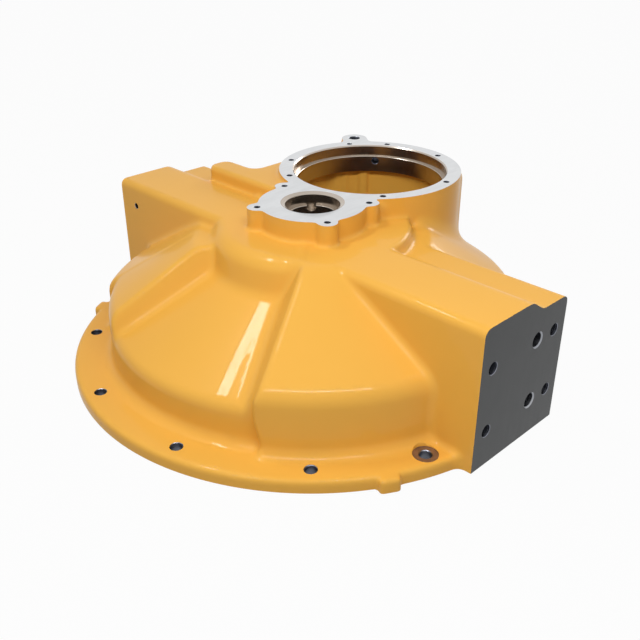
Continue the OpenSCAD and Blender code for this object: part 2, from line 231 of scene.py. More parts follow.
# %% Arms
ARM_HALF_W, ARM_RIGHT, ARM_LEFT, ARM_EDGE = 82.4, 337.0, 332.0, 9.0
STEP_FRONT_Y, STEP_REAR_Y, STEP_EDGE = 7.0, 30.0, 2.5
ARM_FOOT, ARM_FOOT_GAP, ARM_FOOT_FADE = 8.0, 6.0, 10.0
MACHINING_STOCK = 7.0


def arm_top(y, z, drop):
    """Distance above the arm's stepped top, or above a copy of it that much lower."""
    run, fall = STEP_REAR_Y - STEP_FRONT_Y, PLATEAU_Z - STRIP_Z
    slope = ((y - STEP_FRONT_Y) * fall + (z - PLATEAU_Z) * run) / math.hypot(run, fall)
    return meet(z - PLATEAU_Z, join(slope, z - STRIP_Z, STEP_EDGE), STEP_EDGE) + drop


def arm_form(x, y, z):
    """Both arms as one long box, with stock left on the pads."""
    section = meet(arm_top(y, z, 0.0), -y - ARM_HALF_W, ARM_EDGE)
    section = meet(section, y - ARM_HALF_W, ARM_EDGE)
    return np.maximum(section, np.maximum(x - ARM_RIGHT, -x - ARM_LEFT) - MACHINING_STOCK)


def arm_fillet(y, z):
    """The fillet between arm and bell, which fades out below the arm's top."""
    level = np.where(y < (STEP_FRONT_Y + STEP_REAR_Y) / 2, PLATEAU_Z, STRIP_Z)
    return ARM_FOOT * np.clip((level - ARM_FOOT_GAP - z) / ARM_FOOT_FADE, 0, 1)


print("arm section", 2 * ARM_HALF_W, "mm wide and", PLATEAU_Z, "mm high")

# %% [markdown]
# ## Gear tower, deck and rib
#
# The gear tower is a thick ring beside the hub. A threaded lug grows from it at the back
# left, and a cast deck fills the corner beside it, with a rib running out along the arm. Deck
# and rib end a little below the machined face, which is why they keep their paint. Both run
# on into the tower and the hub, where their other ends are hidden.

# %% Gear tower, deck and rib
FACE_Z = 213.5
RING_X, RING_Y, RING_R = -43.0, 159.6, 132.8
LUG_REACH, LUG_ANGLE, LUG_R = 153.3, 141.5, 20.0
DECK_Z, DECK_X, DECK_REAR_Y, DECK_ROUND = 204.5, 180.0, 263.6, 24.0
DECK_HIDDEN_X, DECK_EDGE = 60.0, 5.0
RIB_X, RIB_FRONT_Y, RIB_REAR_Y, RIB_ROUND, RIB_CORNER = 245.0, 14.5, 55.0, 16.0, 14.0
LUG_X = RING_X + LUG_REACH * turn(LUG_ANGLE)[0]
LUG_Y = RING_Y + LUG_REACH * turn(LUG_ANGLE)[1]


def tower_side(x, y):
    """Distance in the plan outside the gear tower."""
    return np.sqrt((x - RING_X) ** 2 + (y - RING_Y) ** 2) - RING_R


def lug_side(x, y):
    """Distance to a round-ended web from the tower's middle to the lug."""
    c, s = turn(LUG_ANGLE)
    along = np.clip((x - RING_X) * c + (y - RING_Y) * s, 0, LUG_REACH)
    return np.sqrt((x - RING_X - along * c) ** 2 + (y - RING_Y - along * s) ** 2) - LUG_R


def plate(x, y, x0, x1, y0, y1, corner):
    """Distance in the plan to a rectangle with round corners."""
    dx = np.abs(x - (x0 + x1) / 2) - (x1 - x0) / 2 + corner
    dy = np.abs(y - (y0 + y1) / 2) - (y1 - y0) / 2 + corner
    outside = np.sqrt(np.maximum(dx, 0) ** 2 + np.maximum(dy, 0) ** 2)
    return outside + np.minimum(np.maximum(dx, dy), 0) - corner


def deck_form(x, y, z):
    """Deck and rib, with a fillet in the corner behind the rib."""
    deck = plate(x, y, -DECK_X, DECK_HIDDEN_X, RIB_FRONT_Y, DECK_REAR_Y, DECK_ROUND)
    rib = plate(x, y, -RIB_X, 0.0, RIB_FRONT_Y, RIB_REAR_Y, RIB_ROUND)
    corner = np.where(y > (RIB_FRONT_Y + RIB_REAR_Y) / 2, RIB_CORNER, 0.0)
    return meet(join(deck, rib, corner), z - DECK_Z, DECK_EDGE)


print("threaded lug at", round(LUG_X, 1), round(LUG_Y, 1), "mm")

# %% [markdown]
# ## Hub flange and clamping tabs
#
# The hub flange is a short round pedestal with four lugs for cover bolts. In the plan each
# lug is a web with a round end, as the threaded lug is. Three small tabs stand out of the
# bell flange's rim, where the casting is clamped while it is machined.

# %% Hub flange and tabs
HUB_FLANGE_R, HUB_TAP_R, HUB_LUG_R, HUB_LUG_FILLET = 72.0, 74.4, 13.6, 3.0
HUB_TAP_ANGLES = (42.8, 167.2, 239.6, 329.8)
TAB_ANGLES, TAB_W, TAB_REACH, TAB_INNER_R = (90.0, 210.0, 330.0), 25.0, 10.0, 250.0
FAR = 1e3


def hub_flange_side(x, y, r):
    """Distance in the plan outside the hub flange and its lugs."""
    side = r - HUB_FLANGE_R
    for angle in HUB_TAP_ANGLES:
        c, s = turn(angle)
        along = np.clip(x * c + y * s, 0, HUB_TAP_R)
        lug = np.sqrt((x - along * c) ** 2 + (y - along * s) ** 2) - HUB_LUG_R
        side = join(side, lug, HUB_LUG_FILLET)
    return side


def tabs_form(x, y, z):
    """The clamping tabs, which start inside the flange."""
    tabs = np.full_like(x, FAR)
    for angle in TAB_ANGLES:
        c, s = turn(angle)
        along, across = x * c + y * s, np.abs(y * c - x * s)
        tab = np.maximum(across - TAB_W / 2, along - FLANGE_R - TAB_REACH)
        tab = np.maximum(np.maximum(tab, TAB_INNER_R - along), z - FLANGE_T)
        tabs = np.minimum(tabs, tab)
    return tabs


print(len(HUB_TAP_ANGLES), "hub lugs and", len(TAB_ANGLES), "tabs")

# %% [markdown]
# ## The hollow inside
#
# The underside of the bell is open, and the core left a cavity with 12 mm walls. It follows
# the outside: the cone, the recessed panel, both arms, the tower and the deck each have
# their hollow, and the solid boss of the hub bore hangs down in the middle. Two upright ribs
# stiffen the tower's far wall.

# %% Hollow
WALL, POCKET_Z, PAD_T, BORE_END_Z = 12.0, 34.0, 45.0, 173.0
CORE_SHOULDER, CORE_EDGE, CORE_CORNER, ARM_CORE_EDGE = 8.0, 6.0, 5.0, 7.0
BOSS_R, BOSS_Z = 49.0, 120.0
TOWER_RIBS = ((150.2, 5.0, 3.5), (136.5, 14.0, 6.0))  # angle, width and reach
DECK_CORE_RIGHT, DECK_CORE_REAR, DECK_CORE_ROUND = -31.0, 42.0, 10.0


def bell_hollow(x, y, z, r):
    """The bell's own cavity, one wall inside the cone, the hub and the recess."""
    hub = meet(r - HUB_R + WALL, z - PLATEAU_Z + WALL, CORE_EDGE)
    roof = np.minimum(z - STRIP_Z + WALL, hub)
    cone = meet(r - (BELL_R - WALL), cone_over(r, z, 0.0) + WALL, CORE_SHOULDER)
    hollow = meet(cone, roof, CORE_CORNER)
    space = meet(-recess_floor(z, r) - WALL, recess_gap(x, y, z, WALL), CORE_CORNER)
    shell = meet(space, -hub_side(z, r) - WALL, CORE_EDGE)
    return meet(hollow, -shell, CORE_EDGE)


def arm_hollow(x, y, z):
    """The pockets in both arms, closed below and behind the pads."""
    section = meet(arm_top(y, z, WALL), -y - ARM_HALF_W + WALL, ARM_CORE_EDGE)
    section = meet(section, y - ARM_HALF_W + WALL, ARM_CORE_EDGE)
    ends = np.maximum(x - ARM_RIGHT, -x - ARM_LEFT) + PAD_T
    return meet(meet(section, POCKET_Z - z, ARM_CORE_EDGE), ends, ARM_CORE_EDGE)


def tower_hollow(x, y, z):
    """The tower's cavity with its ribs, and the deck's beside it."""
    hollow = tower_side(x, y) + WALL
    dx, dy = x - RING_X, y - RING_Y
    for angle, width, reach in TOWER_RIBS:
        c, s = turn(angle)
        along, across = dx * c + dy * s, np.abs(dy * c - dx * s)
        rib = np.maximum(across - width / 2, RING_R - WALL - reach - along)
        hollow = np.maximum(hollow, -rib)
    deck = plate(x, y, -DECK_X + WALL, DECK_CORE_RIGHT,
                 RIB_REAR_Y + WALL, RING_Y + DECK_CORE_REAR, DECK_CORE_ROUND)
    ends = np.maximum(POCKET_Z - z, z - BORE_END_Z)
    return meet(join(hollow, deck, CORE_EDGE), ends, CORE_EDGE)


print("cavity in the arms from", POCKET_Z, "mm to", PLATEAU_Z - WALL, "mm")

# %% [markdown]
# ## One formula for the whole casting
#
# Now the parts are united in the order in which the fillets should run. The tower's foot has
# a tight fillet on the hub's plateau and a wide one where it stands on the sloping cone. The
# hub has no fillet where the right panel runs up to it, because the two are level there.

# %% The whole casting
HUB_FILLET, NO_HUB_FILLET_FROM = 7.0, -50.0
FLANGE_FILLET, LUG_FILLET, DECK_FILLET, HUB_FLANGE_FILLET = 15.0, 7.0, 7.0, 3.0
TOWER_FILLET, TOWER_WIDER, TOWER_WIDER_RADII = 4.0, 16.0, (134.0, 150.0)
HOLLOW_FILLET, BOSS_EDGE, BOSS_COVER, BOSS_FILLET = 5.0, 4.0, 3.0, 6.0


def casting(x, y, z):
    """Distance in millimetres to the cast skin, negative in the metal."""
    r = np.sqrt(x * x + y * y)
    form = with_recess(x, y, z, r, bell_form(x, y, z, r))
    on_panel = (beyond(x, y, NO_HUB_FILLET_FROM) > 0) & (y < 0)
    form = join(form, hub_form(x, y, z, r), np.where(on_panel, 0.0, HUB_FILLET))
    form = join(form, flange_form(z, r), FLANGE_FILLET)
    form = join(form, arm_form(x, y, z), arm_fillet(y, z))
    tower = join(tower_side(x, y), lug_side(x, y), LUG_FILLET)
    form = join(form, tower, TOWER_FILLET + TOWER_WIDER * ramp(r, *TOWER_WIDER_RADII))
    form = join(form, deck_form(x, y, z), DECK_FILLET)
    form = join(form, hub_flange_side(x, y, r), HUB_FLANGE_FILLET)
    form = np.minimum(form, tabs_form(x, y, z))
    form = np.maximum(form, np.maximum(z - FACE_Z, -z) - MACHINING_STOCK)
    hollow = join(bell_hollow(x, y, z, r), arm_hollow(x, y, z), HOLLOW_FILLET)
    hollow = join(hollow, tower_hollow(x, y, z), HOLLOW_FILLET)
    form = np.maximum(form, -hollow)
    boss = meet(r - BOSS_R, BOSS_Z - z, BOSS_EDGE)
    return join(form, np.maximum(boss, z - PLATEAU_Z + BOSS_COVER), BOSS_FILLET)


in_wall = (np.array([0.0]), np.array([WALL / 2 - BELL_R]), np.array([50.0]))
print("inside the bell wall the field reads", casting(*in_wall).round(1), "mm")

# %% [markdown]
# ## From the formula to a mesh
#
# The field is measured on an even grid and smoothed a little, which rounds every edge that
# is still sharp as paint and sand do. Then the surface is drawn by surface nets: each grid
# cell that the surface crosses gets one point, and each grid edge that it crosses gets one
# four-sided face between the four cells around it. Flat faces stay exactly flat.

# %% Measure the field on a grid
CELL = 2.5
LOW = np.array([-352.0, -344.0, -12.0])
COUNT = np.array([284, 282, 98])
SLAB, FARTHEST, SOFTEN = 8, 40, 2.2  # grid steps at a time, limit and smoothing in mm


def grid_axis(i):
    """The grid's places along one axis."""
    return (LOW[i] + CELL * np.arange(COUNT[i])).astype(np.float32)


def measured_field():
    """The casting's distances on the grid, slab by slab to spare memory."""
    gx, gy, gz = (grid_axis(i) for i in range(3))
    field = np.empty(tuple(COUNT), np.float32)
    for start in range(0, COUNT[0], SLAB):
        x, y, z = np.meshgrid(gx[start:start + SLAB], gy, gz, indexing="ij")
        field[start:start + SLAB] = np.clip(casting(x, y, z), -FARTHEST, FARTHEST)
    return field


def softened(field, sigma):
    """The field smoothed by a short bell curve along each axis in turn."""
    reach = int(math.ceil(3 * sigma / CELL))
    steps = np.arange(-reach, reach + 1)
    weights = np.exp(-0.5 * (steps * CELL / sigma) ** 2)
    weights /= weights.sum()
    for axis in range(3):
        spread = [(reach, reach) if a == axis else (0, 0) for a in range(3)]
        padded = np.pad(field, spread, mode="edge")
        field = sum(
            np.float32(w) * np.take(padded, range(k, k + field.shape[axis]), axis)
            for k, w in enumerate(weights)
        )
    return field


field = softened(measured_field(), SOFTEN)
print("field of", field.size, "points,", int((field < 0).sum()), "in the metal,",
      round(time.time() - clock, 1), "s")

# %% Draw the surface
CELL_EDGES = [(a, a | bit) for a in range(8) for bit in (1, 2, 4) if not a & bit]


def corner_slice(field, corner):
    """The field at one of the eight corners of every cell."""
    return field[tuple(
        slice(1, None) if corner >> axis & 1 else slice(None, -1) for axis in range(3)
    )]


def surface_points(field):
    """One point in each crossed cell, and the number of that point for every cell."""
    inside = sum((corner_slice(field, c) < 0).astype(np.int8) for c in range(8))
    crossed = (inside > 0) & (inside < 8)
    cells = np.argwhere(crossed)
    values = [corner_slice(field, c)[crossed] for c in range(8)]
    total, hits = np.zeros((len(cells), 3)), np.zeros(len(cells))
    for a, b in CELL_EDGES:
        split = (values[a] < 0) != (values[b] < 0)
        share = values[a] / np.where(split, values[a] - values[b], 1)
        start = np.array([a >> k & 1 for k in range(3)], float)
        along = np.array([(b >> k & 1) - (a >> k & 1) for k in range(3)], float)
        total += split[:, None] * (start + share[:, None] * along)
        hits += split
    number = np.full(crossed.shape, -1, np.int32)
    number[crossed] = np.arange(len(cells))
    return LOW + CELL * (cells + total / hits[:, None]), number


def surface_faces(field, number):
    """One quad round each grid edge that the surface crosses, facing out of the metal."""
    quads = []
    for axis in range(3):
        u, v = (axis + 1) % 3, (axis + 2) % 3
        ahead = np.take(field, range(1, field.shape[axis]), axis) < 0
        behind = np.take(field, range(field.shape[axis] - 1), axis) < 0
        for inner, outer, order in ((behind, ahead, 1), (ahead, behind, -1)):
            edge = np.argwhere(inner & ~outer)
            ring = []
            for du, dv in ((-1, -1), (0, -1), (0, 0), (-1, 0)):
                cell = edge.copy()
                cell[:, u] += du
                cell[:, v] += dv
                ring.append(number[tuple(cell.T)])
            quads.append(np.stack(ring[::order], 1))
    return np.concatenate(quads)


points, number = surface_points(field)
quads = surface_faces(field, number)
print("surface of", len(points), "points and", len(quads), "quads,",
      round(time.time() - clock, 1), "s")

# %% [markdown]
# ## Settle the points on the surface
#
# The points start near the surface, inside their cells. Each one slides along the field's
# slope until the field reads zero. The same slope, sampled at any point, is the true
# direction of the skin there: it will give the paint clean reflections later.

# %% Sample the field, settle the points
LEAST_SLOPE, LONGEST_STEP = 0.2, 1.0


def sample(grid, where):
    """The grid's value at places between its points, by straight-line mixing."""
    spot = (where - LOW) / CELL
    base = np.clip(np.floor(spot).astype(int), 0, COUNT - 2)
    share = (spot - base)[:, :, None]
    value = 0.0
    for corner in range(8):
        bits = [corner >> k & 1 for k in range(3)]
        parts = [share[:, k, 0] if bits[k] else 1 - share[:, k, 0] for k in range(3)]
        i, j, k = (base[:, axis] + bits[axis] for axis in range(3))
        value = value + np.prod(parts, axis=0) * grid[i, j, k]
    return value


slopes = [np.gradient(field, CELL, axis=k).astype(np.float32) for k in range(3)]


def settled(where, rounds=3):
    """The places moved along the slope until they lie on the skin."""
    for _ in range(rounds):
        slope = np.stack([sample(s, where) for s in slopes], 1)
        size = np.maximum((slope ** 2).sum(1), LEAST_SLOPE)
        share = np.clip(sample(field, where) / size, -LONGEST_STEP, LONGEST_STEP)
        where = where - slope * share[:, None]
    return where


points = settled(points)
off = float(np.abs(sample(field, points)).max())
print("farthest point off the skin:", round(off, 3), "mm")

# %% [markdown]
# ## Thin out the mesh
#
# An even net spends as many faces on a flat wall as on a fillet. Collapsing edges where the
# surface hardly bends leaves the faces where the shape turns. The points are settled once
# more afterwards.

# %% A mesh from points and faces
MM = 0.001


def placed(name, data):
    """A new object in the scene that carries the data."""
    made = bpy.data.objects.new(name, data)
    bpy.context.scene.collection.objects.link(made)
    return made


def piece_from(name, corners, faces):
    """A mesh object with its place in its mesh, from points in metres and equal faces."""
    mesh = bpy.data.meshes.new(name)
    faces = np.asarray(faces, np.int32)
    mesh.vertices.add(len(corners))
    mesh.vertices.foreach_set("co", np.asarray(corners, np.float32).ravel())
    mesh.loops.add(faces.size)
    mesh.loops.foreach_set("vertex_index", faces.ravel())
    mesh.polygons.add(len(faces))
    starts = np.arange(len(faces), dtype=np.int32) * faces.shape[1]
    mesh.polygons.foreach_set("loop_start", starts)
    mesh.update(calc_edges=True)
    return placed(name, mesh)


def points_of(piece):
    """The places of the piece's points, in metres."""
    where = np.empty(len(piece.data.vertices) * 3, np.float32)
    piece.data.vertices.foreach_get("co", where)
    return where.reshape(-1, 3)


def work_in_modifiers(piece):
    """Give the piece the mesh that its modifiers make, and take them off it."""
    seen = piece.evaluated_get(bpy.context.evaluated_depsgraph_get())
    made = bpy.data.meshes.new_from_object(seen)
    old, name = piece.data, piece.data.name
    piece.modifiers.clear()
    piece.data = made
    bpy.data.meshes.remove(old)
    made.name = name


KEEP_FACES = 130_000
skin = piece_from("casting", points * MM, quads)
thin = skin.modifiers.new("thin out", "DECIMATE")
thin.ratio = KEEP_FACES / (2 * len(quads))
work_in_modifiers(skin)
where = settled(points_of(skin) / MM) * MM
skin.data.vertices.foreach_set("co", where.astype(np.float32).ravel())
skin.data.update()
print("thinned to", len(skin.data.polygons), "faces,", round(time.time() - clock, 1), "s")

# %% [markdown]
# ## Finishes
#
# Paint and bare metal need different shaders. The paint is an opaque yellow under a thin
# clear coat that shines, with a faint ripple like the skin of an orange. Bare metal has no
# coat: its brightness comes from what it reflects, and the tool marks decide how sharply.
# Four of the metals also carry painted light in their colour: the pads and the drilled holes
# are painted dark as shade, and the bores and spot faces carry a painted brown reflection of
# the yellow paint.
# Each finish takes its pattern from the piece's own coordinates, so it stays put when the
# part moves.

# %% Helpers for node trees
NOISE_LOW, NOISE_HIGH = 0.3, 0.7  # noise seldom leaves this range


def add(tree, kind, inputs=(), **settings):
    """A new node with its settings, and its inputs set to values or linked to sockets."""
    made = tree.nodes.new(kind)
    for key, value in settings.items():
        setattr(made, key, value)
    for key, value in dict(inputs).items():
        if isinstance(value, bpy.types.NodeSocket):
            tree.links.new(value, made.inputs[key])
        else:
            made.inputs[key].default_value = value
    return made


def fresh_material(name, **fixed):
    """A material with one Principled shader, whose plain numbers are set on its own sockets."""
    material = bpy.data.materials.new(name)
    material.use_nodes = True
    tree = material.node_tree
    shader = tree.nodes["Principled BSDF"]
    for key, value in fixed.items():
        shader.inputs[key.replace("_", " ")].default_value = value
    place = add(tree, "ShaderNodeTexCoord").outputs["Object"]
    return material, tree, shader, place


def noise(tree, place, scale, detail=3.0, stretch=(1, 1, 1)):
    """A noise pattern of that scale, stretched along the axes."""
    where = add(tree, "ShaderNodeMapping", {"Vector": place, "Scale": stretch}).outputs[0]
    pattern = {"Vector": where, "Scale": scale, "Detail": detail}
    return add(tree, "ShaderNodeTexNoise", pattern).outputs[0]


def between(tree, factor, low, high):
    """A noise pattern spread over a range of numbers."""
    made = add(tree, "ShaderNodeMapRange", {
        "Value": factor, "From Min": NOISE_LOW, "From Max": NOISE_HIGH,
        "To Min": low, "To Max": high})
    return made.outputs[0]


def shades(tree, factor, low, high):
    """A noise pattern turned into a colour between two colours."""
    ramp_node = add(tree, "ShaderNodeValToRGB", {"Fac": factor})
    ends = ramp_node.color_ramp.elements
    ends[0].position, ends[1].position = NOISE_LOW, NOISE_HIGH
    ends[0].color, ends[1].color = (*low, 1), (*high, 1)
    return ramp_node.outputs[0]


print("noise is read from", NOISE_LOW, "to", NOISE_HIGH)


# %% Paint and metals
def make_paint():
    """Yellow enamel: shade, gloss and ripple vary slightly over the casting."""
    material, tree, shader, place = fresh_material(
        "yellow enamel", Coat_Weight=0.17, Coat_Roughness=0.03, Coat_IOR=1.5,
        Specular_IOR_Level=0.05)
    broad = noise(tree, place, 7.0)
    colour = shades(tree, broad, (0.835, 0.435, 0.068), (0.85, 0.447, 0.073))
    tree.links.new(colour, shader.inputs["Base Color"])
    gloss = between(tree, noise(tree, place, 20.0, 1.0), 0.30, 0.34)
    tree.links.new(gloss, shader.inputs["Roughness"])
    peel = add(tree, "ShaderNodeBump", {"Height": noise(tree, place, 90.0, 1.0),
                                        "Strength": 0.04, "Distance": 0.0003})
    tree.links.new(peel.outputs[0], shader.inputs["Normal"])
    return material


def make_metal(name, low, high, rough, scale, stretch, metallic=1.0, relief=0.00005):
    """Bare machined metal; scale and stretch set the size and direction of its tool marks."""
    material, tree, shader, place = fresh_material(name, Metallic=metallic)
    marks = noise(tree, place, scale, 4.0, stretch)
    tree.links.new(shades(tree, marks, low, high), shader.inputs["Base Color"])
    tree.links.new(between(tree, marks, *rough), shader.inputs["Roughness"])
    bump = add(tree, "ShaderNodeBump", {"Height": marks, "Strength": 0.3, "Distance": relief})
    tree.links.new(bump.outputs[0], shader.inputs["Normal"])
    return material


paint = make_paint()
face_metal = make_metal("milled top", (0.62, 0.63, 0.64), (0.68, 0.69, 0.70),
                        (0.28, 0.34), 30.0, (5, 1, 1))
# The pads' near-black colour is painted shade: bare milled metal is far paler, and the dark
# stands in for the little light and the dark surroundings that the pads face.
pad_metal_painted_shade = make_metal("milled pad", (0.040, 0.042, 0.043), (0.050, 0.052, 0.053),
                       (0.38, 0.46), 30.0, (1, 4, 1), metallic=0.5)
# The bores' brown tint is a painted reflection of the yellow paint around them; turned metal
# itself is grey.
bore_metal_painted_reflection = make_metal("turned bore", (0.46, 0.40, 0.34), (0.52, 0.46, 0.40),
                        (0.20, 0.24), 12.0, (1, 1, 8), relief=0.00001)
# The spot faces' dark brown is a painted reflection of the yellow paint around them.
spot_metal_painted_reflection = make_metal("spot face", (0.22, 0.14, 0.09), (0.30, 0.19, 0.12),
                        (0.4, 0.5), 60.0, (1, 1, 1), metallic=0.6)
# The drilled holes' dark blue-grey is painted shade for the holes' insides.
hole_metal_painted_shade = make_metal("drilled hole", (0.16, 0.17, 0.20), (0.24, 0.25, 0.29),
                        (0.25, 0.35), 40.0, (1, 1, 8))
thread_metal = make_metal("cut thread", (0.26, 0.27, 0.30), (0.36, 0.37, 0.39),
                          (0.25, 0.35), 60.0, (1, 1, 1))
print(len(bpy.data.materials), "finishes")

# %% [markdown]
# ## Cutting tools
#
# A machine shop removes the stock that the casting was given: it mills the flats, turns the
# bores and drills the holes. Here each tool is a closed shape that is taken off the casting
# by a Boolean modifier, and the fresh faces take the tool's finish. The flats first.

# %% Milling cutters
OVER, SPAN = 12.0, 400.0


def wear(piece, material):
    """The piece, with that one finish all over."""
    piece.data.materials.clear()
    piece.data.materials.append(material)
    return piece


def block(name, low, high, material):
    """A box between two corners, in millimetres."""
    ends = (low, high)
    corners = [[ends[i][0], ends[j][1], ends[k][2]]
               for i in (0, 1) for j in (0, 1) for k in (0, 1)]
    sides = [(0, 1, 3, 2), (4, 6, 7, 5), (0, 4, 5, 1), (2, 3, 7, 6), (0, 2, 6, 4), (1, 5, 7, 3)]
    return wear(piece_from(name, np.array(corners) * MM, sides), material)


tools = [
    block("top cut", (-SPAN, -SPAN, FACE_Z), (SPAN, SPAN, FACE_Z + OVER), face_metal),
    block("foot cut", (-SPAN, -SPAN, -OVER), (SPAN, SPAN, 0), face_metal),
    block("right pad cut", (ARM_RIGHT, -SPAN, -OVER), (ARM_RIGHT + OVER, SPAN, SPAN),
          pad_metal_painted_shade),
    block("left pad cut", (-ARM_LEFT - OVER, -SPAN, -OVER), (-ARM_LEFT, SPAN, SPAN), pad_metal_painted_shade),
]
print(len(tools), "milling cuts")

# %% [markdown]
# The two bores are turned. Their cutter is a profile swept round the bore's axis: the gear
# bore has a counterbore that takes a cover, the hub bore a wide chamfer and a shoulder.

# %% Turning tools
GEAR_BORE_R, COUNTERBORE_R, COUNTERBORE_DEPTH, MOUTH_CHAMFER = 107.0, 111.5, 16.5, 1.8
HUB_BORE_R, HUB_INNER_R, HUB_BORE_DEPTH, HUB_CHAMFER = 36.7, 31.0, 16.5, 5.8
DEBURR = 0.5


def lathed(name, profile, middle, material, steps=240):
    """A closed turned shape; its profile lists radius and height, upward."""
    angle = np.arange(steps) * 2 * math.pi / steps
    corners = [(*middle, profile[0][1])]
    for radius, height in profile:
        corners += [(middle[0] + radius * c, middle[1] + radius * s, height)
                    for c, s in zip(np.cos(angle), np.sin(angle))]
    corners.append((*middle, profile[-1][1]))
    faces, last = [], len(corners) - 1
    for i in range(steps):
        after = (i + 1) % steps
        faces.append((0, 1 + after, 1 + i))
        faces.append((last, last - steps + i, last - steps + after))
        for ring in range(len(profile) - 1):
            a, b = 1 + ring * steps, 1 + (ring + 1) * steps
            faces.append((a + i, a + after, b + after, b + i))
    mesh = bpy.data.meshes.new(name)
    mesh.from_pydata((np.array(corners) * MM).tolist(), [], faces)
    return wear(placed(name, mesh), material)


shoulder_z = FACE_Z - COUNTERBORE_DEPTH
tools.append(lathed("gear bore", [
    (GEAR_BORE_R, BORE_END_Z - OVER), (GEAR_BORE_R, shoulder_z - DEBURR),
    (GEAR_BORE_R + DEBURR, shoulder_z), (COUNTERBORE_R, shoulder_z),
    (COUNTERBORE_R, FACE_Z - MOUTH_CHAMFER), (COUNTERBORE_R + MOUTH_CHAMFER, FACE_Z),
    (COUNTERBORE_R + MOUTH_CHAMFER, FACE_Z + OVER),
], (RING_X, RING_Y), bore_metal_painted_reflection))
shoulder_z = FACE_Z - HUB_BORE_DEPTH
tools.append(lathed("hub bore", [
    (HUB_INNER_R, BOSS_Z - OVER), (HUB_INNER_R, shoulder_z - DEBURR),
    (HUB_INNER_R + DEBURR, shoulder_z), (HUB_BORE_R, shoulder_z),
    (HUB_BORE_R, FACE_Z - HUB_CHAMFER / 2), (HUB_BORE_R + HUB_CHAMFER, FACE_Z),
    (HUB_BORE_R + HUB_CHAMFER, FACE_Z + OVER),
], (0.0, 0.0), bore_metal_painted_reflection, 160))
print("gear bore", 2 * GEAR_BORE_R, "mm and hub bore", 2 * HUB_BORE_R, "mm across")

# %% [markdown]
# ## Drilled holes with Geometry Nodes
#
# The same drill makes a whole circle of holes, so one node tree draws the drill and copies
# it to every point of a pattern. The drill is a circle swept along five stations, wide at the
# mouth for the chamfer and narrow at the tip. Each point carries the direction that its hole
# opens to, and the copies turn that way.

# %% The drill tree
TIP_SHARE = 0.02  # the tip keeps a little width, so that the mesh stays closed


def node_group(name, numbers):
    """An empty Geometry Nodes tree with named number inputs and a material input."""
    tree = bpy.data.node_groups.new(name, "GeometryNodeTree")
    face = tree.interface
    face.new_socket("Geometry", in_out="OUTPUT", socket_type="NodeSocketGeometry")
    face.new_socket("Geometry", in_out="INPUT", socket_type="NodeSocketGeometry")
    for label in numbers:
        face.new_socket(label, in_out="INPUT", socket_type="NodeSocketFloat")
    face.new_socket("Material", in_out="INPUT", socket_type="NodeSocketMaterial")
    return tree, add(tree, "NodeGroupInput").outputs


def copied_to_points(tree, given, shape):
    """The shape copied to every point, turned to its aim, and made a plain mesh."""
    aim = add(tree, "GeometryNodeInputNamedAttribute", {"Name": "aim"},
              data_type="FLOAT_VECTOR")
    turned = add(tree, "FunctionNodeAlignRotationToVector", {"Vector": aim.outputs[0]},
                 axis="Z")
    copies = add(tree, "GeometryNodeInstanceOnPoints", {
        "Points": given["Geometry"], "Instance": shape, "Rotation": turned.outputs[0]})
    plain = add(tree, "GeometryNodeRealizeInstances", {"Geometry": copies.outputs[0]})
    worn = add(tree, "GeometryNodeSetMaterial", {
        "Geometry": plain.outputs[0], "Material": given["Material"]})
    add(tree, "NodeGroupOutput", {"Geometry": worn.outputs[0]})


def maths(tree, operation, a, b):
    """The result of a sum, difference, product or maximum of two numbers or sockets."""
    return add(tree, "ShaderNodeMath", {0: a, 1: b}, operation=operation).outputs[0]


def drill_tree():
    """A drill from above its mouth down to its tip, copied to every point."""
    tree, given = node_group(
        "Drilled holes", ("Radius", "Depth", "Chamfer", "Tip", "Over", "Facets"))
    wide = maths(tree, "ADD", given["Radius"], given["Chamfer"])
    bottom = maths(tree, "MULTIPLY", given["Depth"], -1.0)
    heights = (given["Over"], 0.0, maths(tree, "MULTIPLY", given["Chamfer"], -1.0), bottom,
               maths(tree, "SUBTRACT", bottom, given["Tip"]))
    radii = (wide, wide, given["Radius"], given["Radius"],
             maths(tree, "MULTIPLY", given["Radius"], TIP_SHARE))
    place = add(tree, "GeometryNodeInputIndex").outputs[0]
    picked = []
    for values in (heights, radii):
        switch = add(tree, "GeometryNodeIndexSwitch", {"Index": place}, data_type="FLOAT")
        while len(switch.index_switch_items) < len(values):
            switch.index_switch_items.new()
        for k, value in enumerate(values):
            if isinstance(value, bpy.types.NodeSocket):
                tree.links.new(value, switch.inputs[k + 1])
            else:
                switch.inputs[k + 1].default_value = value
        picked.append(switch.outputs[0])
    line = add(tree, "GeometryNodeCurvePrimitiveLine", {"End": (0, 0, -1)})
    stations = add(tree, "GeometryNodeResampleCurve", {
        "Curve": line.outputs[0], "Count": len(heights)})
    spot = add(tree, "ShaderNodeCombineXYZ", {"Z": picked[0]})
    axis = add(tree, "GeometryNodeSetPosition", {
        "Geometry": stations.outputs[0], "Position": spot.outputs[0]})
    circle = add(tree, "GeometryNodeCurvePrimitiveCircle", {
        "Resolution": given["Facets"], "Radius": 1.0})
    swept = add(tree, "GeometryNodeCurveToMesh", {
        "Curve": axis.outputs[0], "Profile Curve": circle.outputs[0],
        "Scale": picked[1], "Fill Caps": True})
    copied_to_points(tree, given, swept.outputs[0])
    return tree


drills = drill_tree()
print("drill tree with", len(drills.nodes), "nodes")


# %% Use a tree on a pattern of spots
COUNTS = ("Facets", "Turns")  # inputs that are plain numbers, not lengths


def volume(piece):
    """The piece's volume by summing cones from the origin, positive when its faces look out."""
    mesh = piece.data
    mesh.calc_loop_triangles()
    corner = np.empty(len(mesh.loop_triangles) * 3, np.int32)
    mesh.loop_triangles.foreach_get("vertices", corner)
    where = points_of(piece).astype(float)
    a, b, c = where[corner.reshape(-1, 3)].transpose(1, 0, 2)
    return float(np.einsum("ij,ij->i", a, np.cross(b, c)).sum() / 6)


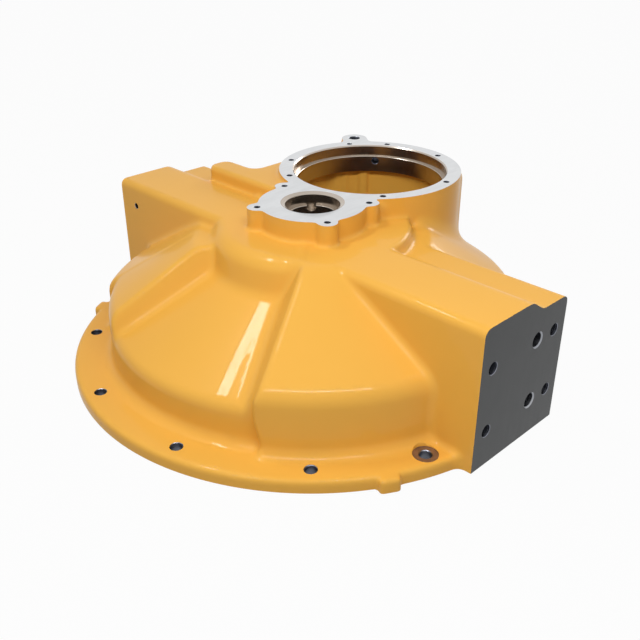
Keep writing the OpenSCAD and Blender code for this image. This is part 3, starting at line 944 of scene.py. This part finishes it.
def patterned(name, tree, spots, material, **sizes):
    """A plain mesh of the tree's shape at each spot, which is a mouth and an aim, in mm."""
    mesh = bpy.data.meshes.new(name)
    mesh.from_pydata([tuple(np.array(s[0]) * MM) for s in spots], [], [])
    aims = mesh.attributes.new("aim", "FLOAT_VECTOR", "POINT")
    aims.data.foreach_set("vector", np.array([s[1] for s in spots], np.float32).ravel())
    piece = placed(name, mesh)
    nodes = piece.modifiers.new("pattern", "NODES")
    nodes.node_group = tree
    for item in tree.interface.items_tree:
        if item.in_out == "INPUT" and item.name in sizes:
            scale = 1.0 if item.name in COUNTS else MM
            nodes[item.identifier] = sizes[item.name] * scale
        elif item.in_out == "INPUT" and item.name == "Material":
            nodes[item.identifier] = material
    work_in_modifiers(piece)
    if volume(piece) < 0:
        piece.data.flip_normals()
    return piece


print("gear bore cutter:", round(volume(tools[-2]) * 1e3, 2), "litres")

# %% [markdown]
# The flange has twelve bolt holes. The four beside the arms stand so close to them that each
# needs a round seat for its bolt head. The seat is cast, so its wall is painted, and only
# its last half millimetre is spot-faced to bare metal.

# %% Bolt holes and spot faces
UP, LEFT, RIGHT, FRONT = (0, 0, 1), (-1, 0, 0), (1, 0, 0), (0, -1, 0)
BOLT_R, BOLT_HOLE_R, SIDE_BOLT_ANGLE = 309.55, 7.5, 20.2
SPOT_R, SPOT_DEPTH, SPOT_MOUTH, SPOT_SKIN, SPOT_GAP = 15.5, 1.0, 3.0, 0.5, 0.3
BOLT_ANGLES = (45, 75, 105, 135, 225, 255, 285, 315)
SIDE_BOLT_ANGLES = (SIDE_BOLT_ANGLE, 180 - SIDE_BOLT_ANGLE,
                    180 + SIDE_BOLT_ANGLE, -SIDE_BOLT_ANGLE)


def around(angles, radius, z, middle=(0.0, 0.0)):
    """Upward spots on a circle."""
    cx, cy = middle
    return [((cx + radius * turn(a)[0], cy + radius * turn(a)[1], z), UP) for a in angles]


spot_z = FLANGE_T - SPOT_DEPTH
tools += [
    patterned("spot walls", drills, around(SIDE_BOLT_ANGLES, BOLT_R, spot_z + SPOT_MOUTH),
              paint, Radius=SPOT_R, Depth=SPOT_MOUTH - SPOT_SKIN, Chamfer=0.2, Tip=0.01,
              Over=15.0, Facets=64),
    patterned("spot faces", drills, around(SIDE_BOLT_ANGLES, BOLT_R, spot_z + SPOT_SKIN),
              spot_metal_painted_reflection, Radius=SPOT_R - SPOT_GAP, Depth=SPOT_SKIN, Chamfer=0.01, Tip=0.01,
              Over=1.0, Facets=64),
    patterned("flange holes", drills, around(BOLT_ANGLES, BOLT_R, FLANGE_T), hole_metal_painted_shade,
              Radius=BOLT_HOLE_R, Depth=FLANGE_T + 3, Chamfer=0.6, Tip=3, Over=14, Facets=48),
    patterned("spot-faced holes", drills, around(SIDE_BOLT_ANGLES, BOLT_R, spot_z), hole_metal_painted_shade,
              Radius=BOLT_HOLE_R, Depth=FLANGE_T + 3, Chamfer=0.8, Tip=3, Over=4, Facets=48),
]
print("flange cutters:", [round(volume(t) * 1e6, 1) for t in tools[-4:]], "ml")

# %% [markdown]
# The machined top face has eleven small tapped holes and the lug's large one, and each pad
# has four tapped holes and two dowel holes. A tapped hole is cut to the thread's outer
# diameter here, because the thread's ridges are laid into it afterwards.

# %% Tapped holes and dowel holes
RING_TAP_R, FACE_CORE_R, FACE_TAP_R, FACE_TAP_DEPTH = 121.75, 3.6, 4.25, 22.0
RING_TAP_ANGLES = (13.8, 73.5, 119, 147.5, 207.8, 242, 320.5)
LUG_CORE_R, LUG_TAP_R, LUG_TAP_DEPTH = 7.9, 8.75, 35.0
PAD_CORE_R, PAD_TAP_R, PAD_TAP_DEPTH = 6.8, 7.6, 36.0
PAD_HOLE_DY, PAD_HOLE_DZ, PAD_HOLE_Z = 121.6, 81.8, 89.2
DOWEL_R, DOWEL_DEPTH, DOWEL_Y, DOWEL_CHAMFER = 9.0, 28.0, 26.1, 1.5

face_spots = around(RING_TAP_ANGLES, RING_TAP_R, FACE_Z, (RING_X, RING_Y))
face_spots += around(HUB_TAP_ANGLES, HUB_TAP_R, FACE_Z)
lug_spots = [((LUG_X, LUG_Y, FACE_Z), UP)]
pad_spots, dowel_spots = [], []
for x, aim in ((ARM_RIGHT, RIGHT), (-ARM_LEFT, LEFT)):
    for z in (PAD_HOLE_Z - PAD_HOLE_DZ / 2, PAD_HOLE_Z + PAD_HOLE_DZ / 2):
        dowel_spots.append(((x, DOWEL_Y, z), aim))
        pad_spots += [((x, y, z), aim) for y in (-PAD_HOLE_DY / 2, PAD_HOLE_DY / 2)]
tools += [
    patterned("face taps", drills, face_spots, hole_metal_painted_shade,
              Radius=FACE_TAP_R, Depth=FACE_TAP_DEPTH, Chamfer=0.3, Tip=3, Over=4, Facets=32),
    patterned("lug tap", drills, lug_spots, hole_metal_painted_shade,
              Radius=LUG_TAP_R, Depth=LUG_TAP_DEPTH, Chamfer=0.6, Tip=5, Over=4, Facets=48),
    patterned("pad taps", drills, pad_spots, hole_metal_painted_shade,
              Radius=PAD_TAP_R, Depth=PAD_TAP_DEPTH, Chamfer=0.6, Tip=5, Over=4, Facets=48),
    patterned("dowel holes", drills, dowel_spots, thread_metal,
              Radius=DOWEL_R, Depth=DOWEL_DEPTH, Chamfer=DOWEL_CHAMFER, Tip=0.5, Over=4,
              Facets=64),
]
print(len(face_spots), "face taps,", len(pad_spots), "pad taps and",
      len(dowel_spots), "dowel holes")

# %% [markdown]
# Three holes are drilled sideways: the oil hole in the gear bore's wall, the oil notch in
# the hub bore and the small port in the left arm's front. The first two open into a bore,
# the third to the front, and each aim points out of the metal.

# %% Oil hole, notch and port
OIL_HOLE_R, OIL_HOLE_ANGLE, OIL_HOLE_Z, OIL_HOLE_DEPTH = 5.5, 127.2, 190.0, 18.0
NOTCH_R, NOTCH_ANGLE, NOTCH_Z, NOTCH_DEPTH = 6.5, 138.5, 195.0, 8.0
PORT_R, PORT_X, PORT_Z, PORT_DEPTH = 4.0, 296.6, 150.4, 18.0


def inward_spot(angle, radius, z, middle=(0.0, 0.0)):
    """A hole's mouth on a bore's wall, opening towards the bore's axis."""
    c, s = turn(angle)
    return [((middle[0] + radius * c, middle[1] + radius * s, z), (-c, -s, 0.0))]


tools += [
    patterned("oil hole", drills,
              inward_spot(OIL_HOLE_ANGLE, GEAR_BORE_R, OIL_HOLE_Z, (RING_X, RING_Y)), hole_metal_painted_shade,
              Radius=OIL_HOLE_R, Depth=OIL_HOLE_DEPTH, Chamfer=0.4, Tip=3, Over=6, Facets=40),
    patterned("oil notch", drills, inward_spot(NOTCH_ANGLE, HUB_INNER_R, NOTCH_Z), bore_metal_painted_reflection,
              Radius=NOTCH_R, Depth=HUB_BORE_R + NOTCH_DEPTH - HUB_INNER_R,
              Chamfer=0.01, Tip=0.01, Over=4, Facets=40),
    patterned("side port", drills, [((-PORT_X, -ARM_HALF_W, PORT_Z), FRONT)], hole_metal_painted_shade,
              Radius=PORT_R, Depth=PORT_DEPTH, Chamfer=0.5, Tip=3, Over=6, Facets=40),
]
print("all", len(tools), "tools ready", round(time.time() - clock, 1), "s")

# %% [markdown]
# ## The cuts
#
# The Boolean modifiers take the tools off the casting one after another. Their manifold
# solver is quick and keeps the mesh closed.

# %% Machine the casting
wear(skin, paint)
for tool in tools:
    step = skin.modifiers.new(tool.name, "BOOLEAN")
    step.operation, step.solver, step.object = "DIFFERENCE", "MANIFOLD", tool
    step.material_mode = "TRANSFER"
work_in_modifiers(skin)
for tool in tools:
    bpy.data.objects.remove(tool)
print("machined to", len(skin.data.polygons), "faces with",
      [m.name for m in skin.data.materials], round(time.time() - clock, 1), "s")

# %% [markdown]
# ## Clean reflections
#
# The mesh is made of small flat faces, and glossy paint would show every one. A renderer
# shades a face by the directions stored at its corners, so the true ones are stored here.
# On the cast skin they are the slopes of the field. On machined faces, and where a cut has
# left the painted skin well away from the field's surface, they stay as the mesh has them,
# sharp wherever it turns by more than 30 degrees.

# %% Store the true directions
SHARP_TURN, LEAST_AGREEMENT, SKIN_REACH = 30, 0.3, 0.8


def corner_slopes(where):
    """The direction out of the metal at places on the skin."""
    slope = np.stack([sample(s, where) for s in slopes], 1)
    return slope / np.maximum(np.linalg.norm(slope, axis=1), 1e-6)[:, None]


def shade_truly(piece, painted):
    """Sharp machined edges, and the field's own directions on the painted faces."""
    mesh = piece.data
    mesh.shade_smooth()
    mesh.set_sharp_from_angle(angle=math.radians(SHARP_TURN))
    directions = np.empty(len(mesh.loops) * 3, np.float32)
    mesh.corner_normals.foreach_get("vector", directions)
    directions = directions.reshape(-1, 3)
    corner = np.empty(len(mesh.loops), np.int32)
    mesh.loops.foreach_get("vertex_index", corner)
    sizes, finish = (np.empty(len(mesh.polygons), np.int32) for _ in range(2))
    mesh.polygons.foreach_get("loop_total", sizes)
    mesh.polygons.foreach_get("material_index", finish)
    on_skin = np.repeat(finish == painted, sizes)
    where = points_of(piece) / MM
    true = corner_slopes(where)[corner]
    agrees = (true * directions).sum(1) > LEAST_AGREEMENT
    near = np.abs(sample(field, where))[corner] < SKIN_REACH
    directions[on_skin & agrees & near] = true[on_skin & agrees & near]
    mesh.normals_split_custom_set(directions.tolist())
    return float((on_skin & ~agrees).sum() / max(on_skin.sum(), 1))


odd = shade_truly(skin, skin.data.materials.find(paint.name))
print("share of painted corners that disagree with the field:", round(odd, 5),
      round(time.time() - clock, 1), "s")

# %% [markdown]
# ## Threads
#
# A thread is one ridge that winds down a hole. The node tree sweeps a three-sided profile
# along a spiral and lays a copy into every tapped hole. The ridge's foot sinks a little into
# the wall, so that no gap shows.

# %% The thread tree
PROFILE_SHARE = 0.75  # of the ridge's height, which sinks its foot into the wall


def thread_tree():
    """One ridge that winds from a pitch below the mouth down the hole."""
    tree, given = node_group("Threads", ("Core", "Outer", "Pitch", "Turns", "Facets"))
    ridge = maths(tree, "SUBTRACT", given["Outer"], given["Core"])
    profile_r = maths(tree, "MULTIPLY", ridge, PROFILE_SHARE)
    middle = maths(tree, "ADD", given["Core"], profile_r)
    height = maths(tree, "MULTIPLY", given["Pitch"], given["Turns"])
    spiral = add(tree, "GeometryNodeCurveSpiral", {
        "Resolution": given["Facets"], "Rotations": given["Turns"], "Start Radius": middle,
        "End Radius": middle, "Height": height})
    below = maths(tree, "MULTIPLY", maths(tree, "ADD", height, given["Pitch"]), -1.0)
    shift = add(tree, "ShaderNodeCombineXYZ", {"Z": below})
    lowered = add(tree, "GeometryNodeTransform", {
        "Geometry": spiral.outputs[0], "Translation": shift.outputs[0]})
    upright = add(tree, "GeometryNodeSetCurveNormal", {"Curve": lowered.outputs[0]},
                  mode="Z_UP")
    triangle = add(tree, "GeometryNodeCurvePrimitiveCircle", {
        "Resolution": 3, "Radius": profile_r})
    turned = add(tree, "GeometryNodeTransform", {
        "Geometry": triangle.outputs[0], "Rotation": (0, 0, math.pi)})
    swept = add(tree, "GeometryNodeCurveToMesh", {
        "Curve": upright.outputs[0], "Profile Curve": turned.outputs[0], "Fill Caps": True})
    flat = add(tree, "GeometryNodeSetShadeSmooth", {
        "Geometry": swept.outputs[0], "Shade Smooth": False})
    copied_to_points(tree, given, flat.outputs[0])
    return tree


threads = thread_tree()
thread_pieces = [
    patterned("face_threads", threads, face_spots, thread_metal,
              Core=FACE_CORE_R, Outer=FACE_TAP_R, Pitch=1.5, Turns=12, Facets=20),
    patterned("lug_thread", threads, lug_spots, thread_metal,
              Core=LUG_CORE_R, Outer=LUG_TAP_R, Pitch=2.0, Turns=15, Facets=28),
    patterned("pad_threads", threads, pad_spots, thread_metal,
              Core=PAD_CORE_R, Outer=PAD_TAP_R, Pitch=2.5, Turns=12, Facets=28),
]
for piece in thread_pieces:
    print(piece.name, len(piece.data.polygons), "faces,", round(volume(piece) * 1e9, 1), "mm3",
          "up to z", round(float(points_of(piece)[:, 2].max()) / MM, 2))

# %% [markdown]
# ## The casting takes the frame's place
#
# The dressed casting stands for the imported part, and the threads ride with it.

# %% Tie the pieces to the frame
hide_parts("housing")
for piece in [skin, *thread_pieces]:
    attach(piece, "root")
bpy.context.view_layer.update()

# %% [markdown]
# ## Studio
#
# The photograph is a studio picture on white. The floor and the room are white to the camera
# and in reflections, but the light that falls on the casting from all round is a softer
# grey. Under the bell the floor is plain grey, so that no white shows up through the bores.
# A long strip lamp gives the main light and the thin bright lines along the edges, a second
# one the bright bar on the recessed panel, and a weak sun lights the back.

# %% Camera
camera = placed("camera", bpy.data.cameras.new("camera"))
camera.location = (0.7453, -0.7293, 0.6021)
camera.rotation_euler = Vector((-0.6225, 0.6206, -0.4768)).to_track_quat("-Z", "Y").to_euler()
camera.data.lens, camera.data.sensor_width = 47.05, 36.0
bpy.context.scene.camera = camera
bpy.context.scene.view_settings.view_transform = "Standard"
print("camera", round(camera.location.length, 3), "m from the bell's foot")

# %% World and floor
ROOM_LIGHT, FLOOR_WHITE = 0.30, 0.96
FLOOR_HALF, FLOOR_DROP = 6, 0.0006
GREY_R, WHITE_R = 0.29, 0.33  # the floor turns from grey to white under the flange


def seen_directly(tree):
    """1 for a look from the camera, in a mirror or through glass, 0 for scattered light."""
    path = add(tree, "ShaderNodeLightPath").outputs
    sharp = maths(tree, "MAXIMUM", path["Is Glossy Ray"], path["Is Transmission Ray"])
    return maths(tree, "MAXIMUM", path["Is Camera Ray"], sharp)


def make_world():
    """A room that is white to look at and lights the casting more softly."""
    world = bpy.data.worlds.new("studio")
    world.use_nodes = True
    tree = world.node_tree
    room = tree.nodes["Background"]
    room.inputs["Color"].default_value = (1, 1, 1, 1)
    room.inputs["Strength"].default_value = ROOM_LIGHT
    white = add(tree, "ShaderNodeBackground", {"Color": (1, 1, 1, 1), "Strength": 1.0})
    mixed = add(tree, "ShaderNodeMixShader", {
        0: seen_directly(tree), 1: room.outputs[0], 2: white.outputs[0]})
    tree.links.new(mixed.outputs[0], tree.nodes["World Output"].inputs["Surface"])
    return world


def make_floor():
    """A matt floor that still takes the casting's shadow, a hair below its foot."""
    s, z = FLOOR_HALF, -FLOOR_DROP
    floor = piece_from("floor", [(-s, -s, z), (s, -s, z), (s, s, z), (-s, s, z)], [(0, 1, 2, 3)])
    material, tree, shader, place = fresh_material(
        "pale floor", Roughness=0.9, Specular_IOR_Level=0.1)
    cloudy = shades(tree, noise(tree, place, 1.5, 1.0), (0.42, 0.42, 0.42), (0.44, 0.44, 0.44))
    tree.links.new(cloudy, shader.inputs["Base Color"])
    white = add(tree, "ShaderNodeEmission", {"Color": (1, 1, 1, 1), "Strength": 1.0})
    reach = add(tree, "ShaderNodeVectorMath", {0: place}, operation="LENGTH").outputs["Value"]
    outside = add(tree, "ShaderNodeMapRange", {
        "Value": reach, "From Min": GREY_R, "From Max": WHITE_R,
        "To Min": 0.0, "To Max": FLOOR_WHITE}).outputs[0]
    share = maths(tree, "MULTIPLY", seen_directly(tree), outside)
    mixed = add(tree, "ShaderNodeMixShader", {
        0: share, 1: shader.outputs[0], 2: white.outputs[0]})
    tree.links.new(mixed.outputs[0], tree.nodes["Material Output"].inputs["Surface"])
    floor.data.materials.append(material)
    return floor


bpy.context.scene.world = make_world()
floor = make_floor()
print("floor", [round(v, 2) for v in floor.dimensions])


# %% Lamps
def strip_lamp(name, where, target, along, length, width, watts):
    """A long flat lamp that faces a target, its length as near as can be to a direction."""
    made = placed(name, bpy.data.lights.new(name, "AREA"))
    back = (Vector(where) - Vector(target)).normalized()
    across = Vector(along).cross(back).normalized()
    turned = Matrix((across, back.cross(across), back)).transposed()
    made.location, made.rotation_euler = where, turned.to_euler()
    made.data.energy = watts
    made.data.shape, made.data.size, made.data.size_y = "RECTANGLE", width, length


strip_lamp("key", where=(0.50, -0.58, 0.98), target=(0.08, -0.10, 0.12),
           along=(1, 1, 0), length=1.1, width=0.05, watts=8.2)
strip_lamp("bar", where=(-0.64, -0.42, 1.72), target=(0.077, -0.196, 0.101),
           along=(-0.133, 0.363, 0.06), length=0.46, width=0.11, watts=6.5)
back = placed("back", bpy.data.lights.new("back", "SUN"))
back.rotation_euler = Vector((0.15, -0.9, -0.35)).to_track_quat("-Z", "Y").to_euler()
back.data.energy, back.data.angle = 0.7, math.radians(20)
